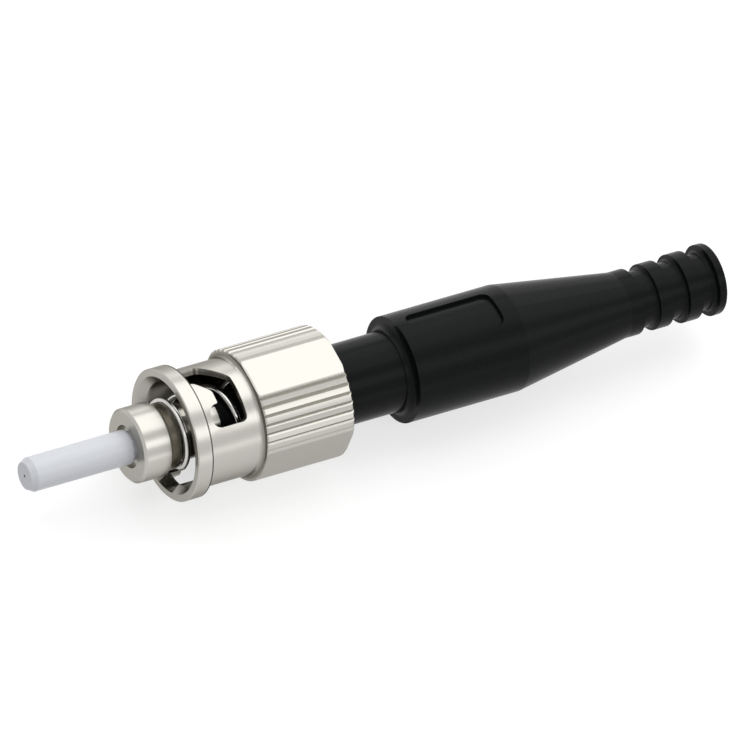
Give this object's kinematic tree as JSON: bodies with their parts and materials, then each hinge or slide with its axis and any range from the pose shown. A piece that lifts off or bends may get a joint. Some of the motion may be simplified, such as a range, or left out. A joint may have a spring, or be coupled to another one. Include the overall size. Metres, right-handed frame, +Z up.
{
  "type": "bayonet fibre optic connector",
  "caption": "Fibre optic plug with a ceramic ferrule, a spring-loaded knurled bayonet coupling nut and a black strain relief boot for a round cable.",
  "frame": {"origin": "centre of the ferrule's end face", "axes": "+X along the plug's axis, from the ferrule towards the cable; +Z up as it lies on a flat of its nut"},
  "size_m": [0.0553, 0.0096, 0.0096],
  "materials": {
    "ceramic": "ground ceramic",
    "nickel_plate": "satin nickel plate",
    "clear_tube": "smooth",
    "spring_steel": "bright drawn",
    "washer_steel": "smooth",
    "body_plastic": "satin",
    "sleeve_metal": "satin nickel plate",
    "boot_rubber": "satin moulded"
  },
  "bodies": {
    "plug": {"ferrule": "ceramic", "ferrule_holder": "nickel_plate", "guide_tube": "clear_tube", "coupling_spring": "spring_steel", "rear_body": "body_plastic", "crimp_post": "nickel_plate", "crimp_sleeve": "sleeve_metal", "strain_relief_boot": "boot_rubber"},
    "spring_washer": {"thrust_washer": "washer_steel"},
    "nut": {"coupling_nut": "nickel_plate"}
  },
  "joints": [
    {"name": "nut_push", "type": "slide", "parent": "plug", "child": "spring_washer", "axis": [-1, 0, 0], "range_m": [0, 0.0022], "stiffness_N_per_m": 3000, "deforming": ["coupling_spring"]},
    {"name": "nut_turn", "type": "hinge", "parent": "spring_washer", "child": "nut", "pos_m": [0.0203, 0, 0], "axis": [1, 0, 0], "continuous": true}
  ]
}
